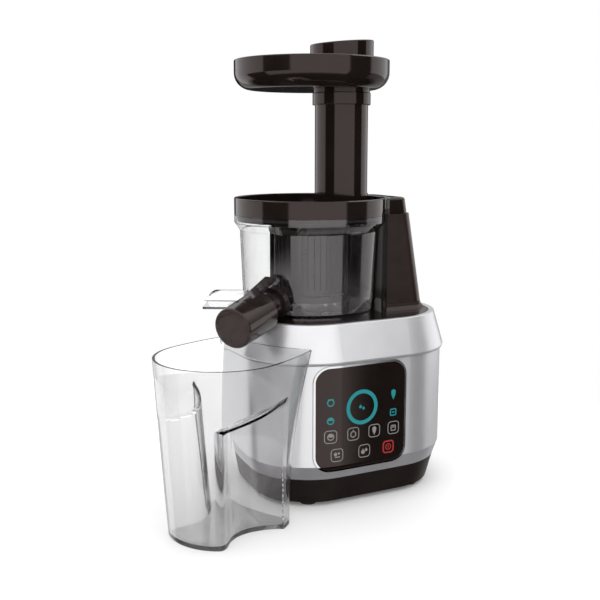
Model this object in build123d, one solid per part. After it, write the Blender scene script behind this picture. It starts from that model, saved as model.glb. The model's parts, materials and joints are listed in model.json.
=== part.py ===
from build123d import *
import math
import os

# Upright slow juicer with a rinse tank and a clear jug.  Millimetres, +Z up, floor at z = 0.
# While modelling, the bowl's axis is x = y = 0 and the control panel faces -Y.

# Clearances
running_fit = 0.05
slip_fit = 0.3
seat_gap = 0.2

# Base plan: a rounded rectangle with slightly bowed faces
base_x = 24.0
base_half_x = 107.2
base_half_y = 93.1
base_corner = 71.4
face_bow = 1.5
shell_wall = 3.0

# Base levels and how far each lies inside the widest line of the base
foot_h = 4.2
foot_r = 9.0
foot_x = 57.5
foot_y = 62.0
foot_taper = 1.0
skirt_foot_inset = 14.1
skirt_top = 29.5
skirt_top_inset = 7.35
skirt_floor = 3.0
skirt_edge = 1.2
chamfer_top = 43.2
body_inset = 2.66
nose_z = 144.0
nose_drop = 2.8
nose_edge_inset = 1.2
rim_z = 177.9
rim_inset = 9.74
rim_edge = 0.8
deck_drop = 0.9
deck_t = 5.0
shaft_hole_r = 10.0
vent_len = 46.0
vent_w = 4.0
vent_step = 10.0
vent_count = 5

# Screws that hold the bottom cover
screw_r = 2.0
screw_head_r = 4.0
screw_head_h = 2.4
screw_len = 34.0
screw_spread = 50.0
pillar_r = 5.5
boss_h = 22.0

# Touch panel on the front face
panel_x = 8.3
panel_w = 95.0
panel_h = 99.0
panel_z = 89.0
panel_corner = 14.0
glass_t = 1.6
glass_proud = 0.5
bezel_w = 1.8
bezel_proud = 1.0
pocket_depth = 1.8
board_w = 64.0
board_h = 70.0
board_t = 1.6
board_y = -79.0
standoff_r = 3.0
standoff_margin = 6.4
relay_size = (16.0, 14.0, 18.0)
capacitor_r = 8.0
capacitor_h = 18.0
socket_size = (30.0, 9.0, 8.0)

# Cord gland in the back wall
gland_x = 24.0
gland_z = 60.0
gland_r = 7.0
gland_flange_r = 10.0
gland_bore_r = 3.6
gland_len = 16.0
gland_flange_t = 4.0

# Gear train: auger wheel, reduction cluster, motor pinion
wheel_teeth = 60
cluster_pinion_teeth = 12
wheel_module = 1.25
cluster_teeth = 48
motor_pinion_teeth = 12
cluster_module = 1.0
cluster_z = 124.0
cluster_t = 8.0
pinion_over = 1.0
wheel_z = 137.0
wheel_t = 10.0
gearbox_z = 116.0
gearbox_h = 36.0
gearbox_wall = 3.0
gearbox_margin = 3.5
gearbox_cover_t = 4.0
gearbox_corner = 12.0
neck_r = 21.0
neck_play = 2.0
shaft_r = 8.0
bearing_r = 16.0
bearing_h = 10.0
bush_r = 11.0
bush_h = 8.0
hex_flats = 14.0
hex_top = 222.0
idler_pin_r = 4.0
wheel_collar_wall = 5.0
cluster_hub_wall = 2.5
tooth_share = 0.42
tooth_addendum = 0.8
tooth_dedendum = 1.15
flank_lean = 0.36

# Motor under the gearbox
motor_r = 46.5
motor_wall = 2.5
motor_z = 44.0
stator_r_in = 25.0
stator_h = 44.0
stator_slots = 12
stator_slot_r = 3.0
stator_slot_in = 6.0
winding_in = 2.0
winding_out = 13.0
winding_over = 6.0
motor_vents = 6
motor_vent_r = 5.0
motor_vent_orbit = 28.8
rotor_gap = 0.8
rotor_shaft_r = 4.0
pinion_shaft_r = 3.0
motor_bush_r = 8.0
motor_bush_over = 2.0
fan_r = 32.0
fan_h = 8.0
fan_hub_r = 9.0
fan_blades = 9
fan_blade_t = 1.6
fan_root = 1.0
fan_gap = 3.0
fan_shaft_over = 1.0

# Bowl
bowl_wall = 2.5
bowl_foot_h = 5.5
bowl_foot_in = 1.0
bowl_r_low = 66.5
bowl_r_high = 69.5
bowl_neck_z = 259.0
bowl_rim_r = 75.0
bowl_rim_low_z = 267.0
bowl_rim_z = 274.0
bowl_floor_t = 3.0
bowl_line_z = 193.5
bowl_line_h = 1.0
bowl_line_proud = 1.2
hub_r = 14.0
hub_h = 3.0
seal_h = 2.0
spigot_h = 2.2
spigot_gap = 2.0
spigot_bore_r = 22.0

# Strainer, wiper and their drive
wiper_module = 1.5
sun_teeth = 20
idler_teeth = 14
ring_teeth = 48
wheel_level = 190.0
wheel_face = 6.0
post_r = 3.0
post_foot_r = 6.0
post_heading = -50.0
post_count = 4
track_gap = 2.0
track_w = 2.5
track_gate_len = 12.0
ring_space_share = 0.6
strainer_r = 35.5
strainer_wall = 2.5
strainer_floor_t = 2.5
strainer_top = 263.0
strainer_slots = 36
slot_w = 1.2
slot_low_margin = 6.0
slot_top_margin = 7.0
pulp_gate_len = 9.0
pulp_gate_w = 16.0
wiper_r = 41.0
wiper_ring_h = 4.0
wiper_bars = 4
wiper_bar_w = 9.0
wiper_bar_t = 2.2
wiper_bar_turn = 45.0
wiper_drop = 1.0
blade_t = 1.6

# Auger
auger_core_r = 24.0
auger_r = 32.0
flight_t = 4.0
flight_pitch = 34.0
auger_top = 258.0
auger_pin_r = 6.0
auger_pin_top = 273.5
auger_neck_r = 12.6
auger_cone_r = 10.0
auger_cone_h = 6.0
flight_root = 1.5

# Lid, chute, tray and pusher
lid_top = 291.0
lid_wall = 2.6
lid_edge = 1.0
lid_floor_z = 279.0
lid_floor_t = 3.0
plug_depth = 10.5
plug_wall = 2.4
hopper_wall = 2.5
lid_seal_h = 2.5
lid_seal_up = 2.0
lid_seal_depth = 1.0
pin_boss_wall = 4.0
pin_boss_h = 6.0
chute_x = 35.7
chute_r = 26.5
chute_wall = 2.4
chute_foot_r = 27.3
chute_foot_h = 3.0
chute_top = 396.0
collar_r = 28.9
collar_low = 381.0
collar_h = 12.0
collar_neck_r = 28.2
collar_edge = 0.8
tray_over = 0.7
tray_x = 2.0
tray_low = 395.0
tray_top = 423.0
tray_wall = 2.8
tray_edge_r = 16.0
tray_rim_edge = 1.1
mouth_h = 2.6
pusher_r = 31.3
pusher_top = 441.5
pusher_tilt = 4.5
pusher_low = 318.0
pusher_dish = 3.0
pusher_wall = 2.5
pusher_slip = 0.5
pusher_rim = 3.0
pusher_edge = 1.2

# Juice spout with a turning drip-stop sleeve
spout_heading = 213.0
spout_slope = 10.5
spout_root_z = 195.0
spout_reach = 139.8
spout_bore_r = 10.0
spout_tube_r = 13.4
spout_flange_r = 16.3
spout_flange_t = 7.0
spout_plug_wall = 1.5
sleeve_r = 18.9
sleeve_root_r = 20.2
sleeve_len = 46.0
sleeve_end_t = 2.5
sleeve_window = 15.0
sleeve_window_back = 5.0
sleeve_window_level = 4.0
sleeve_tab_w = 12.0
sleeve_tab_h = 3.5
sleeve_tab_len = 30.0
sleeve_bump_r = 1.7
sleeve_bump_sink = 0.6
sleeve_bump_across = 4.0
sleeve_bump_first = 4.0
sleeve_bump_step = 7.0
sleeve_tab_sink = 1.0
lever_w = 12.0
lever_t = 3.0
lever_hold = 16.0
lever_rise = 5.8
lever_gap = 3.0

# Pulp outlet moulded on the bowl
outlet_heading = 151.0
outlet_reach = 106.0
outlet_w = 42.0
outlet_h = 16.0
outlet_wall = 2.0
outlet_shoulder = 8.8
outlet_lip = 5.0
outlet_nose = 17.0

# Rinse tank beside the bowl
tank_gap = 3.0
tank_low_depth = 35.4
tank_low_half_y = 42.0
tank_high_depth = 19.4
tank_high_half_y = 36.0
tank_corner = 13.0
tank_wall = 2.8
tank_cap_z = 274.0
tank_top = 290.0
tank_cap_step = 2.2
tank_cap_wall = 2.0
tank_cap_edge = 3.0
tank_plug_slip = 1.0
tank_plug_h = 4.0
dock_h = 7.0
dock_flare = 3.4
valve_r = 5.0
valve_stem_r = 2.5
valve_cap_h = 4.0
tank_outlet_in = 13.0
pump_r = 8.0
pump_h = 15.0
pump_bore_r = 4.0
port_len = 4.0
port_wall = 1.5
hose_r = 3.0
hose_wall = 1.0
hose_bend = 4.5
hose_straight = 12.0
nozzle_margin = 11.0
nozzle_heading = 29.5
nozzle_r = 4.0

# Jug: a U-shaped plan, round end away from the base, hollow end hugging the base corner;
# lengths along it start at the base corner's own round
jug_heading = 207.0
jug_h = 160.0
jug_mid_z = 108.0
jug_centre = 61.6
jug_round_low = 50.0
jug_round_mid = 57.0
jug_round_high = 60.0
jug_hollow_low = 18.6
jug_hollow_mid = 7.6
jug_hollow_high = 3.6
jug_tip_low = (41.0, 13.6)
jug_tip_mid = (46.0, 6.6)
jug_tip_high = (52.0, -4.9)
jug_tip_r_low = 9.0
jug_tip_r_mid = 6.0
jug_tip_r_high = 3.6
jug_wall = 2.4
jug_floor = 4.0
grip_r = 34.0
grip_out = 61.0
grip_along = 75.6
grip_top_z = 112.0
grip_tilt = 8.0
grip_flare = 3.0
grip_lean = 3.0

# Levels and places worked out from the sizes above
deck_top = rim_z - deck_drop
deck_low = deck_top - deck_t
split_z = nose_z - nose_drop
wheel_pitch_r = wheel_teeth * wheel_module / 2
cluster_x = wheel_pitch_r + cluster_pinion_teeth * wheel_module / 2
motor_x = cluster_x + (cluster_teeth + motor_pinion_teeth) * cluster_module / 2
gearbox_floor_top = gearbox_z + gearbox_wall
gearbox_top = gearbox_z + gearbox_h
cover_top = gearbox_top + gearbox_cover_t
bearing_z = deck_low - bearing_h - seat_gap
bowl_low = deck_top + seat_gap
bowl_floor = bowl_low + bowl_foot_h
hub_top = bowl_floor + hub_h
auger_low = hub_top + seal_h + slip_fit
sun_pitch_r = sun_teeth * wiper_module / 2
idler_pitch_r = idler_teeth * wiper_module / 2
ring_pitch_r = ring_teeth * wiper_module / 2
post_orbit = sun_pitch_r + idler_pitch_r
idler_turn = post_heading + 180 - 180 / idler_teeth + post_heading * sun_teeth / idler_teeth
ring_turn = post_heading + (idler_turn - post_heading) * idler_teeth / ring_teeth
gear_under = wheel_level - slip_fit
strainer_low = wheel_level + wheel_face + 2 * slip_fit
hopper_low = strainer_top + slip_fit
chute_bore_r = chute_r - chute_wall
tray_r = bowl_rim_r + tray_over
tray_floor = tray_low + tray_wall
tank_near_x = bowl_rim_r + tank_gap
tank_outlet_x = tank_near_x + tank_outlet_in
tank_low = deck_top + dock_h + seat_gap
nozzle_orbit = bowl_r_low - bowl_wall - nozzle_margin
nozzle_x = nozzle_orbit * math.cos(math.radians(nozzle_heading))
nozzle_y = nozzle_orbit * math.sin(math.radians(nozzle_heading))
fan_low = motor_z - fan_gap - fan_h
plug_r = bowl_rim_r - bowl_wall - 2 * slip_fit
lid_floor_top = lid_floor_z + lid_floor_t
lid_seal_low = lid_floor_z - plug_depth + lid_seal_up
bowl_under = bowl_floor - bowl_floor_t
hollow_x = base_x - base_half_x + base_corner
hollow_y = base_corner - base_half_y
upright = (Align.CENTER, Align.CENTER, Align.MIN)


def disc(r, z0, z1, x=0.0, y=0.0):
    return Pos(x, y, z0) * Cylinder(r, z1 - z0, align=upright)


def ring(r_out, r_in, z0, z1, x=0.0, y=0.0):
    return disc(r_out, z0, z1, x, y) - disc(r_in, z0, z1, x, y)


def turned(*points):
    return revolve(Plane.XZ * make_face(Polyline(*points, close=True)), Axis.Z)


def edges_at(solid, z):
    near = slip_fit / 10
    return solid.edges().filter_by_position(Axis.Z, z - near, z + near)


def wall_edge(size, wall):
    """Rounding of a wall's edge, kept inside the wall."""
    return min(size, 0.4 * wall)


def polar(r, degrees):
    return (r * math.cos(math.radians(degrees)), r * math.sin(math.radians(degrees)))


def base_section(inset, z):
    """Plan of the base at one level, drawn inside its widest line by inset."""
    hx = base_half_x - inset
    hy = base_half_y - inset
    outline = [
        ThreePointArc((-hx, -hy), (0, -hy - face_bow), (hx, -hy)),
        ThreePointArc((hx, -hy), (hx + face_bow, 0), (hx, hy)),
        ThreePointArc((hx, hy), (0, hy + face_bow), (-hx, hy)),
        ThreePointArc((-hx, hy), (-hx - face_bow, 0), (-hx, -hy)),
    ]
    plan = make_face(outline)
    return Pos(base_x, 0, z) * fillet(plan.vertices(), base_corner - inset)


def base_stack(levels, grow=0.0):
    """Solid through (z, inset) levels, drawn in by grow."""
    return loft([base_section(inset + grow, z) for z, inset in levels], ruled=True)


def band_inset(z):
    return rim_inset * (z - nose_z) / (rim_z - nose_z)


def skirt_levels(z0, z1):
    slope = (skirt_foot_inset - skirt_top_inset) / (skirt_top - foot_h)
    return [(z, skirt_foot_inset - slope * (z - foot_h)) for z in (z0, z1)]


def body_levels():
    return [(skirt_top, skirt_top_inset), (chamfer_top, body_inset), (split_z, body_inset)]


def corner_places(spread):
    """Four places on the diagonals of the base's corners."""
    reach = spread / math.sqrt(2)
    dx = base_half_x - base_corner + reach
    dy = base_half_y - base_corner + reach
    return [(base_x + sx * dx, sy * dy) for sx in (-1, 1) for sy in (-1, 1)]


def tooth_outline(teeth, module, root_r, tip_r, thickness, turn):
    """Straight-flanked teeth; thickness is the share of the pitch at the pitch line."""
    step = 2 * math.pi / teeth
    pitch_r = teeth * module / 2
    half = thickness * step / 2
    lean = flank_lean * module / pitch_r
    points = []
    for i in range(teeth):
        mid = i * step + math.radians(turn)
        for r, side in ((root_r, -1), (tip_r, -1), (tip_r, 1), (root_r, 1)):
            away = half + lean * (pitch_r - r) / module
            points.append((r * math.cos(mid + side * away), r * math.sin(mid + side * away)))
    return make_face(Polyline(*points, close=True))


def gear_blank(teeth, module, z0, z1, turn=0.0):
    pitch_r = teeth * module / 2
    plan = tooth_outline(
        teeth,
        module,
        pitch_r - tooth_dedendum * module,
        pitch_r + tooth_addendum * module,
        tooth_share,
        turn,
    )
    return Pos(0, 0, z0) * extrude(plan, z1 - z0)


def gear(teeth, module, z0, z1, bore, turn=0.0):
    return gear_blank(teeth, module, z0, z1, turn) - disc(bore, z0, z1)


# Base shells and covers


def bottom_cover():
    outer = base_stack(skirt_levels(foot_h, skirt_top))
    inner = base_stack(skirt_levels(foot_h + skirt_floor, skirt_top), shell_wall)
    tray = outer - inner
    tray = fillet(tray.faces().sort_by(Axis.Z)[0].outer_wire().edges(), wall_edge(skirt_edge, shell_wall))
    for x, y in corner_places(screw_spread):
        tray += disc(pillar_r, foot_h + skirt_floor, skirt_top, x, y)
        tray -= disc(screw_r + slip_fit, foot_h, skirt_top, x, y)
        tray -= disc(screw_head_r + slip_fit, foot_h, foot_h + screw_head_h + slip_fit, x, y)
    vent = Box(vent_len, vent_w, skirt_floor, align=upright)
    first = -vent_step * (vent_count - 1) / 2
    return tray - [Pos(motor_x, first + vent_step * k, foot_h) * vent for k in range(vent_count)]


def rubber_feet():
    pad = Cone(foot_r - foot_taper, foot_r, foot_h, align=upright)
    return Part() + [Pos(base_x + sx * foot_x, sy * foot_y, 0) * pad for sx in (-1, 1) for sy in (-1, 1)]


def cover_screws():
    head_z = foot_h + slip_fit
    screws = []
    for x, y in corner_places(screw_spread):
        head = disc(screw_head_r, head_z, head_z + screw_head_h, x, y)
        screws.append(head + disc(screw_r, head_z, head_z + screw_len, x, y))
    return Part() + screws


def panel_prism(margin):
    plan = RectangleRounded(panel_w + 2 * margin, panel_h + 2 * margin, panel_corner + margin)
    return Pos(panel_x, -base_half_y / 2, panel_z) * extrude(Plane.XZ * plan, base_half_y)


def panel_slab(proud, depth, margin):
    """Piece of the body's front skin, from proud outside it to depth below it."""
    skin = base_stack(body_levels(), -proud) - base_stack(body_levels(), depth)
    return skin & panel_prism(margin)


def standoff_places():
    dx = board_w / 2 - standoff_margin
    dz = board_h / 2 - standoff_margin
    return [(panel_x + sx * dx, panel_z + sz * dz) for sx in (-1, 1) for sz in (-1, 1)]


def lower_shell():
    outer = base_stack(body_levels())
    inner = base_stack(body_levels(), shell_wall)
    shell = outer - inner
    for x, y in corner_places(screw_spread):
        boss = disc(pillar_r, skirt_top, skirt_top + boss_h, x, y)
        turn = math.degrees(math.atan2(math.copysign(1, y), math.copysign(1, x - base_x)))
        rib = Pos(x, y, skirt_top) * Rot(0, 0, turn) * Box(
            base_corner, shell_wall, boss_h, align=(Align.MIN, Align.CENTER, Align.MIN)
        )
        rib = rib & base_stack(body_levels(), shell_wall / 2)
        shell += boss + rib
        shell -= disc(screw_r + running_fit, skirt_top, skirt_top + screw_len, x, y)
    for x, z in standoff_places():
        post = Pos(x, board_y, z) * Rot(90, 0, 0) * Cylinder(standoff_r, base_half_y, align=upright)
        shell += post & base_stack(body_levels(), shell_wall / 2)
    shell -= panel_slab(shell_wall, pocket_depth, bezel_w + seat_gap)
    hole = Pos(gland_x, base_half_y - 2 * gland_len, gland_z) * Rot(-90, 0, 0)
    shell -= hole * Cylinder(gland_r + running_fit, 4 * gland_len, align=upright)
    return shell


def upper_shell():
    levels = [
        (split_z, nose_edge_inset),
        (nose_z - nose_drop / 2, nose_edge_inset / 4),
        (nose_z, 0),
        (rim_z, rim_inset),
    ]
    lining = [(split_z, body_inset), (nose_z, body_inset), (rim_z, body_inset + band_inset(rim_z))]
    shell = base_stack(levels) - base_stack(lining, shell_wall)
    return fillet(edges_at(shell, rim_z), wall_edge(rim_edge, shell_wall))


def deck():
    edge = body_inset + shell_wall + running_fit
    levels = [(z, band_inset(z)) for z in (deck_low, deck_top)]
    plate = base_stack(levels, edge)
    plate += ring(bowl_r_low - bowl_wall - spigot_gap, spigot_bore_r, deck_top, deck_top + spigot_h)
    plate -= disc(shaft_hole_r, deck_low, deck_top)
    plate -= disc(nozzle_r + running_fit, deck_low, deck_top + spigot_h, nozzle_x, nozzle_y)
    plate -= disc(valve_r, deck_low, deck_top, tank_outlet_x)
    return plate


def cord_gland():
    place = Pos(gland_x, 0, gland_z) * Rot(-90, 0, 0)
    wall_y = base_half_y - body_inset + face_bow
    stem = Pos(0, 0, wall_y - gland_len + gland_flange_t) * Cylinder(gland_r, gland_len, align=upright)
    flange = Pos(0, 0, wall_y + seat_gap) * Cylinder(gland_flange_r, gland_flange_t - seat_gap, align=upright)
    bore = Pos(0, 0, wall_y - gland_len) * Cylinder(gland_bore_r, 2 * gland_len, align=upright)
    return place * (stem + flange - bore)


# Control panel


def panel_glass():
    return panel_slab(glass_proud, glass_t, -seat_gap)


def panel_bezel():
    return panel_slab(bezel_proud, glass_t, bezel_w) - panel_prism(0)


def control_board():
    plate = Pos(panel_x, board_y + board_t / 2, panel_z) * Box(board_w, board_t, board_h)
    relay = Pos(panel_x + board_w / 4, board_y + board_t, panel_z + board_h / 4)
    plate += relay * Box(*relay_size, align=(Align.CENTER, Align.MIN, Align.CENTER))
    capacitor = Pos(panel_x - board_w / 4, board_y + board_t, panel_z) * Rot(-90, 0, 0)
    plate += capacitor * Cylinder(capacitor_r, capacitor_h, align=upright)
    socket = Pos(panel_x, board_y + board_t, panel_z - board_h / 3)
    plate += socket * Box(*socket_size, align=(Align.CENTER, Align.MIN, Align.CENTER))
    return plate


# Gearbox and motor


def gearbox_plan(margin):
    low = -(wheel_pitch_r + wheel_module + gearbox_margin + margin)
    high = motor_x + motor_pinion_teeth * cluster_module + gearbox_margin + margin
    half = wheel_pitch_r + wheel_module + gearbox_margin + margin
    return Pos((low + high) / 2, 0) * RectangleRounded(high - low, 2 * half, gearbox_corner + margin)


def gearbox_housing():
    box = Pos(0, 0, gearbox_z) * extrude(gearbox_plan(gearbox_wall), gearbox_h)
    box -= Pos(0, 0, gearbox_floor_top) * extrude(gearbox_plan(0), gearbox_h)
    box -= disc(bush_r + running_fit, gearbox_z, gearbox_floor_top)
    box -= disc(motor_bush_r + running_fit, gearbox_z, gearbox_floor_top, motor_x)
    box -= disc(idler_pin_r + running_fit, gearbox_z, gearbox_floor_top, cluster_x)
    return box


def gearbox_cover():
    plate = Pos(0, 0, gearbox_top) * extrude(gearbox_plan(gearbox_wall), gearbox_cover_t)
    plate += disc(neck_r, cover_top, deck_low)
    plate -= disc(shaft_r + neck_play, gearbox_top, deck_low)
    plate -= disc(bearing_r + running_fit, bearing_z, deck_low)
    plate -= disc(idler_pin_r + running_fit, gearbox_top, cover_top, cluster_x)
    return plate


def output_bearing():
    return ring(bearing_r, shaft_r + running_fit, bearing_z, bearing_z + bearing_h)


def shaft_bush():
    return ring(bush_r, shaft_r + running_fit, gearbox_z, gearbox_z + bush_h)


def cluster_pin():
    return disc(idler_pin_r, gearbox_z, cover_top, cluster_x)


def hex_prism(flats, z0, z1):
    return Pos(0, 0, z0) * extrude(RegularPolygon(flats / 2, 6, major_radius=False), z1 - z0)


def drive_shaft():
    return disc(shaft_r, gearbox_z + seat_gap, deck_top) + hex_prism(hex_flats, deck_top, hex_top)


def output_gear():
    wheel = gear(wheel_teeth, wheel_module, wheel_z, wheel_z + wheel_t, shaft_r + running_fit)
    collar_low_z = gearbox_z + bush_h + seat_gap
    return wheel + ring(shaft_r + wheel_collar_wall, shaft_r + running_fit, collar_low_z, wheel_z)


def reduction_gear():
    bore = idler_pin_r + running_fit
    low = gearbox_floor_top + slip_fit
    high = wheel_z + wheel_t + pinion_over
    turn = 180 / cluster_pinion_teeth
    pinion = gear(cluster_pinion_teeth, wheel_module, cluster_z + cluster_t, high, bore, turn)
    wheel = gear(cluster_teeth, cluster_module, cluster_z, cluster_z + cluster_t, bore)
    hub = ring(idler_pin_r + cluster_hub_wall, bore, low, cluster_z)
    return Pos(cluster_x, 0, 0) * (pinion + wheel + hub)


def motor_frame():
    can = ring(motor_r, motor_r - motor_wall, motor_z, gearbox_z, motor_x)
    floor = ring(motor_r, motor_bush_r + running_fit, motor_z, motor_z + motor_wall, motor_x)
    slots = []
    for k in range(motor_vents):
        x, y = polar(motor_vent_orbit, 360 * k / motor_vents)
        slots.append(disc(motor_vent_r, motor_z, motor_z + motor_wall, motor_x + x, y))
    return can + floor - slots


def stator_span():
    middle = (motor_z + gearbox_z) / 2
    return middle - stator_h / 2, middle + stator_h / 2


def motor_stator():
    low, high = stator_span()
    core = ring(motor_r - motor_wall - running_fit, stator_r_in, low, high, motor_x)
    for k in range(stator_slots):
        x, y = polar(stator_r_in + stator_slot_in, 360 * k / stator_slots)
        core -= disc(stator_slot_r, low, high, motor_x + x, y)
    outer = stator_r_in + winding_out
    inner = stator_r_in + winding_in
    windings = ring(outer, inner, low - winding_over, high + winding_over, motor_x)
    return core + windings


def motor_bushes():
    bore = rotor_shaft_r + running_fit
    lower = ring(motor_bush_r, bore, motor_z, motor_z + motor_wall + motor_bush_over, motor_x)
    upper = ring(motor_bush_r, bore, gearbox_z - motor_bush_over, gearbox_floor_top, motor_x)
    return Part() + [lower, upper]


def motor_rotor():
    low, high = stator_span()
    core = disc(stator_r_in - rotor_gap, low, high, motor_x)
    shaft = disc(rotor_shaft_r, fan_low - fan_shaft_over, gearbox_floor_top, motor_x)
    tip = disc(pinion_shaft_r, gearbox_floor_top, cluster_z + cluster_t + pinion_over, motor_x)
    return core + shaft + tip


def motor_pinion():
    low = cluster_z - pinion_over
    high = cluster_z + cluster_t + pinion_over
    turn = 180 / motor_pinion_teeth
    return Pos(motor_x, 0, 0) * gear(
        motor_pinion_teeth, cluster_module, low, high, pinion_shaft_r + running_fit, turn
    )


def cooling_fan():
    hub = ring(fan_hub_r, rotor_shaft_r + running_fit, fan_low, fan_low + fan_h)
    root_r = fan_hub_r - fan_root
    fan = hub + ring(fan_r, root_r, fan_low, fan_low + fan_blade_t)
    blade = Box(fan_r - fan_hub_r, fan_blade_t, fan_h, align=(Align.MIN, Align.CENTER, Align.MIN))
    for k in range(fan_blades):
        fan += Pos(0, 0, fan_low) * Rot(0, 0, 360 * k / fan_blades) * Pos(root_r, 0, 0) * blade
    return Pos(motor_x, 0, 0) * fan


# Bowl and juicing set


def spout_frame():
    """Plane at the bowl wall: local Z runs out along the spout, local Y points up."""
    tilt = math.radians(spout_slope)
    out = polar(math.cos(tilt), spout_heading)
    side = polar(1, spout_heading + 90)
    x, y = polar(bowl_r_low, spout_heading)
    return Plane(origin=(x, y, spout_root_z), x_dir=(side[0], side[1], 0),
                 z_dir=(out[0], out[1], -math.sin(tilt)))


def along_spout(r, start, end):
    return spout_frame() * Pos(0, 0, start) * Cylinder(r, end - start, align=upright)


def spout_length():
    return (spout_reach - bowl_r_low) / math.cos(math.radians(spout_slope))


def bowl_profile(grow):
    """Outside of the bowl, drawn out by grow, as a solid of turning."""
    return turned(
        (0, bowl_low),
        (bowl_r_low - bowl_foot_in + grow, bowl_low),
        (bowl_r_low + grow, bowl_floor),
        (bowl_r_high + grow, bowl_neck_z),
        (bowl_rim_r + grow, bowl_rim_low_z),
        (bowl_rim_r + grow, bowl_rim_z),
        (0, bowl_rim_z),
    )


def bowl_hollow():
    return turned(
        (0, bowl_floor),
        (bowl_r_low - bowl_wall, bowl_floor),
        (bowl_r_high - bowl_wall, bowl_neck_z),
        (bowl_rim_r - bowl_wall, bowl_rim_low_z),
        (bowl_rim_r - bowl_wall, bowl_rim_z),
        (0, bowl_rim_z),
    )


def outlet_block(shrink, start, end):
    """D-shaped bar along the pulp outlet, drawn in by shrink."""
    half = outlet_w / 2 - shrink
    low = shrink
    crown = outlet_h - shrink
    shoulder = outlet_shoulder - shrink / 2
    plan = make_face([
        Polyline((-half, shoulder), (-half, low), (half, low), (half, shoulder)),
        ThreePointArc((half, shoulder), (0, crown), (-half, shoulder)),
    ])
    frame = Plane(origin=(*polar(start, outlet_heading), bowl_floor - outlet_wall),
                  x_dir=(*polar(1, outlet_heading + 90), 0), z_dir=(*polar(1, outlet_heading), 0))
    return extrude(frame * plan, end - start)


def outlet_nose_block():
    """Side view of the pulp outlet, drawn across it: the top falls in a curve to a low lip."""
    shoulder = (outlet_reach - outlet_nose, outlet_h)
    bulge = (outlet_reach - outlet_nose / 3, outlet_lip + (outlet_h - outlet_lip) * 2 / 3)
    lip = (outlet_reach, outlet_lip)
    side_view = make_face([
        Polyline(shoulder, (0, outlet_h), (0, 0), (outlet_reach, 0), lip),
        ThreePointArc(lip, bulge, shoulder),
    ])
    frame = Plane(origin=(*polar(outlet_w, outlet_heading + 90), bowl_floor - outlet_wall),
                  x_dir=(*polar(1, outlet_heading), 0), z_dir=(*polar(1, outlet_heading - 90), 0))
    return extrude(frame * side_view, 2 * outlet_w)


def post_places():
    return [polar(post_orbit, post_heading + 360 * k / post_count) for k in range(post_count)]


def bowl():
    inner_r = bowl_r_low - bowl_wall
    shell = bowl_profile(0) + (outlet_block(0, inner_r, outlet_reach) & outlet_nose_block())
    shell -= bowl_hollow()
    shell -= outlet_block(outlet_wall, inner_r - bowl_wall, outlet_reach)
    shell -= disc(inner_r - bowl_foot_in, bowl_low, bowl_under)
    line_r = inner_r + bowl_wall / 2
    shell += ring(line_r, inner_r - bowl_line_proud, bowl_line_z - bowl_line_h, bowl_line_z)
    shell -= along_spout(spout_bore_r + spout_plug_wall, -4 * bowl_wall, 2 * bowl_wall)
    shell += disc(hub_r, bowl_under, hub_top)
    shell -= disc(shaft_hole_r, bowl_under, hub_top)
    track_r = ring_pitch_r + track_gap
    track = ring(track_r + track_w, track_r, bowl_under, gear_under)
    gate = Rot(0, 0, outlet_heading) * Pos(ring_pitch_r, 0, bowl_floor)
    track -= gate * Box(track_gate_len, outlet_w - 2 * outlet_wall, gear_under, align=upright)
    shell += track
    for x, y in post_places():
        shell += disc(post_foot_r, bowl_under, gear_under, x, y)
        shell += disc(post_r, bowl_under, strainer_low, x, y)
    shell -= disc(nozzle_r + running_fit, bowl_under, bowl_floor, nozzle_x, nozzle_y)
    return shell


def bowl_seal():
    lip_r = hex_flats / math.sqrt(3) + slip_fit
    return ring(hub_r, lip_r, hub_top, hub_top + seal_h)


def strainer():
    inside = strainer_r - strainer_wall
    basket = disc(strainer_r, strainer_low, strainer_top)
    basket -= disc(inside, strainer_low + strainer_floor_t, strainer_top)
    basket -= disc(sun_pitch_r + 2 * wiper_module, strainer_low, strainer_low + strainer_floor_t)
    slot_low = strainer_low + slot_low_margin
    slot_h = strainer_top - slot_low - slot_top_margin
    slots = []
    for k in range(strainer_slots):
        place = Rot(0, 0, 360 * k / strainer_slots) * Pos(strainer_r, 0, slot_low)
        slots.append(place * Box(4 * strainer_wall, slot_w, slot_h, align=upright))
    gate = Rot(0, 0, outlet_heading) * Pos(post_orbit, 0, strainer_low)
    return basket - slots - gate * Box(pulp_gate_len, pulp_gate_w, strainer_floor_t, align=upright)


def wiper_ring_gear():
    pitch_r = ring_pitch_r
    spaces = tooth_outline(
        ring_teeth,
        wiper_module,
        pitch_r - tooth_addendum * wiper_module,
        pitch_r + tooth_dedendum * wiper_module,
        ring_space_share,
        ring_turn,
    )
    band = disc(wiper_r, wheel_level, wheel_level + wheel_face)
    return band - Pos(0, 0, wheel_level) * extrude(spaces, wheel_face)


def wiper_bar_place(k):
    return Rot(0, 0, wiper_bar_turn + 360 * k / wiper_bars) * Pos(wiper_r - wiper_bar_t, 0, 0)


def wiper_frame():
    frame = wiper_ring_gear()
    top = strainer_top - wiper_drop
    frame += ring(wiper_r, wiper_r - wiper_bar_t, top - wiper_ring_h, top)
    for k in range(wiper_bars):
        bar = Pos(0, 0, wheel_level) * Box(
            wiper_bar_t, wiper_bar_w, top - wheel_level, align=(Align.MIN, Align.CENTER, Align.MIN)
        )
        frame += (wiper_bar_place(k) * bar) & disc(wiper_r, wheel_level, top)
    return frame


def wiper_blades():
    low = wheel_level + wheel_face + slip_fit
    high = strainer_top - wiper_drop - wiper_ring_h - slip_fit
    gap = wiper_r - wiper_bar_t - strainer_r - slip_fit
    blades = []
    for k in range(wiper_bars):
        blade = Pos(0, 0, low) * Box(gap, blade_t, high - low, align=(Align.MAX, Align.CENTER, Align.MIN))
        blades.append(wiper_bar_place(k) * blade)
    return Part() + blades


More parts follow.
